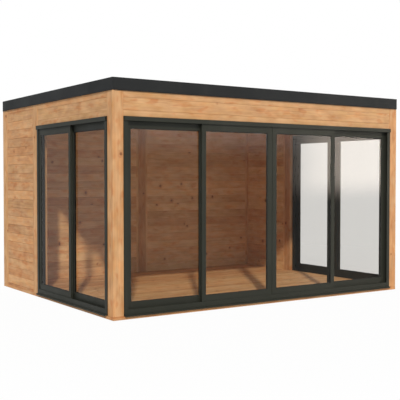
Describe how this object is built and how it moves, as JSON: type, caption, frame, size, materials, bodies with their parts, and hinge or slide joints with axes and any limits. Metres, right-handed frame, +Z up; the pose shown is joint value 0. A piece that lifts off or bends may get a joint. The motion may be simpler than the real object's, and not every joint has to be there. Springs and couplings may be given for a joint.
{
  "type": "garden house",
  "caption": "Flat-roofed timber garden house on a low base, with sliding glass doors across the front and along the front half of each side wall.",
  "frame": {"origin": "on the ground at the middle of the timber shell", "axes": "+X along the front to the right, +Y from the front to the rear, +Z up"},
  "size_m": [4.056, 3.1003, 2.396],
  "materials": {
    "timber": "stained softwood boards, matte",
    "membrane": "matte sheet",
    "roof_trim": "matte dark grey coating",
    "door_metal": "matte dark grey coating",
    "glazing": "clear, lightly tinted",
    "roller": "moulded"
  },
  "bodies": {
    "house": {"base_beams_long": "timber", "base_beams_short": "timber", "corner_posts": "timber", "fascia_front": "roof_trim", "fascia_left": "roof_trim", "fascia_rear": "roof_trim", "fascia_right": "roof_trim", "fixed_leaf_glass": "glazing", "floor_bearers": "timber", "floor_deck": "timber", "front_door_head": "door_metal", "front_door_jambs": "door_metal", "front_door_sill": "door_metal", "front_fixed_leaf_left_frame": "door_metal", "front_fixed_leaf_right_frame": "door_metal", "front_header": "timber", "left_door_head": "door_metal", "left_door_jambs": "door_metal", "left_door_sill": "door_metal", "left_fixed_leaf_frame": "door_metal", "left_header": "timber", "left_wall_panel": "timber", "rear_wall_panel_left": "timber", "rear_wall_panel_right": "timber", "right_door_head": "door_metal", "right_door_jambs": "door_metal", "right_door_sill": "door_metal", "right_fixed_leaf_frame": "door_metal", "right_header": "timber", "right_wall_panel": "timber", "roof_deck": "timber", "roof_edge_battens": "timber", "roof_joists": "timber", "roof_membrane": "membrane", "roof_rim_boards": "timber", "wall_posts": "timber"},
    "front_sliding_leaf_left": {"front_sliding_leaf_left_frame": "door_metal", "front_sliding_leaf_left_glass": "glazing", "front_sliding_leaf_left_rollers": "roller"},
    "front_sliding_leaf_right": {"front_sliding_leaf_right_frame": "door_metal", "front_sliding_leaf_right_glass": "glazing", "front_sliding_leaf_right_rollers": "roller"},
    "left_sliding_leaf": {"left_sliding_leaf_frame": "door_metal", "left_sliding_leaf_glass": "glazing", "left_sliding_leaf_rollers": "roller"},
    "right_sliding_leaf": {"right_sliding_leaf_frame": "door_metal", "right_sliding_leaf_glass": "glazing", "right_sliding_leaf_rollers": "roller"}
  },
  "joints": [
    {"name": "front_left_slide", "type": "slide", "parent": "house", "child": "front_sliding_leaf_left", "axis": [-1, 0, 0], "range_m": [0, 0.893]},
    {"name": "front_right_slide", "type": "slide", "parent": "house", "child": "front_sliding_leaf_right", "axis": [1, 0, 0], "range_m": [0, 0.893]},
    {"name": "left_slide", "type": "slide", "parent": "house", "child": "left_sliding_leaf", "axis": [0, -1, 0], "range_m": [0, 0.83]},
    {"name": "right_slide", "type": "slide", "parent": "house", "child": "right_sliding_leaf", "axis": [0, -1, 0], "range_m": [0, 0.83]}
  ]
}
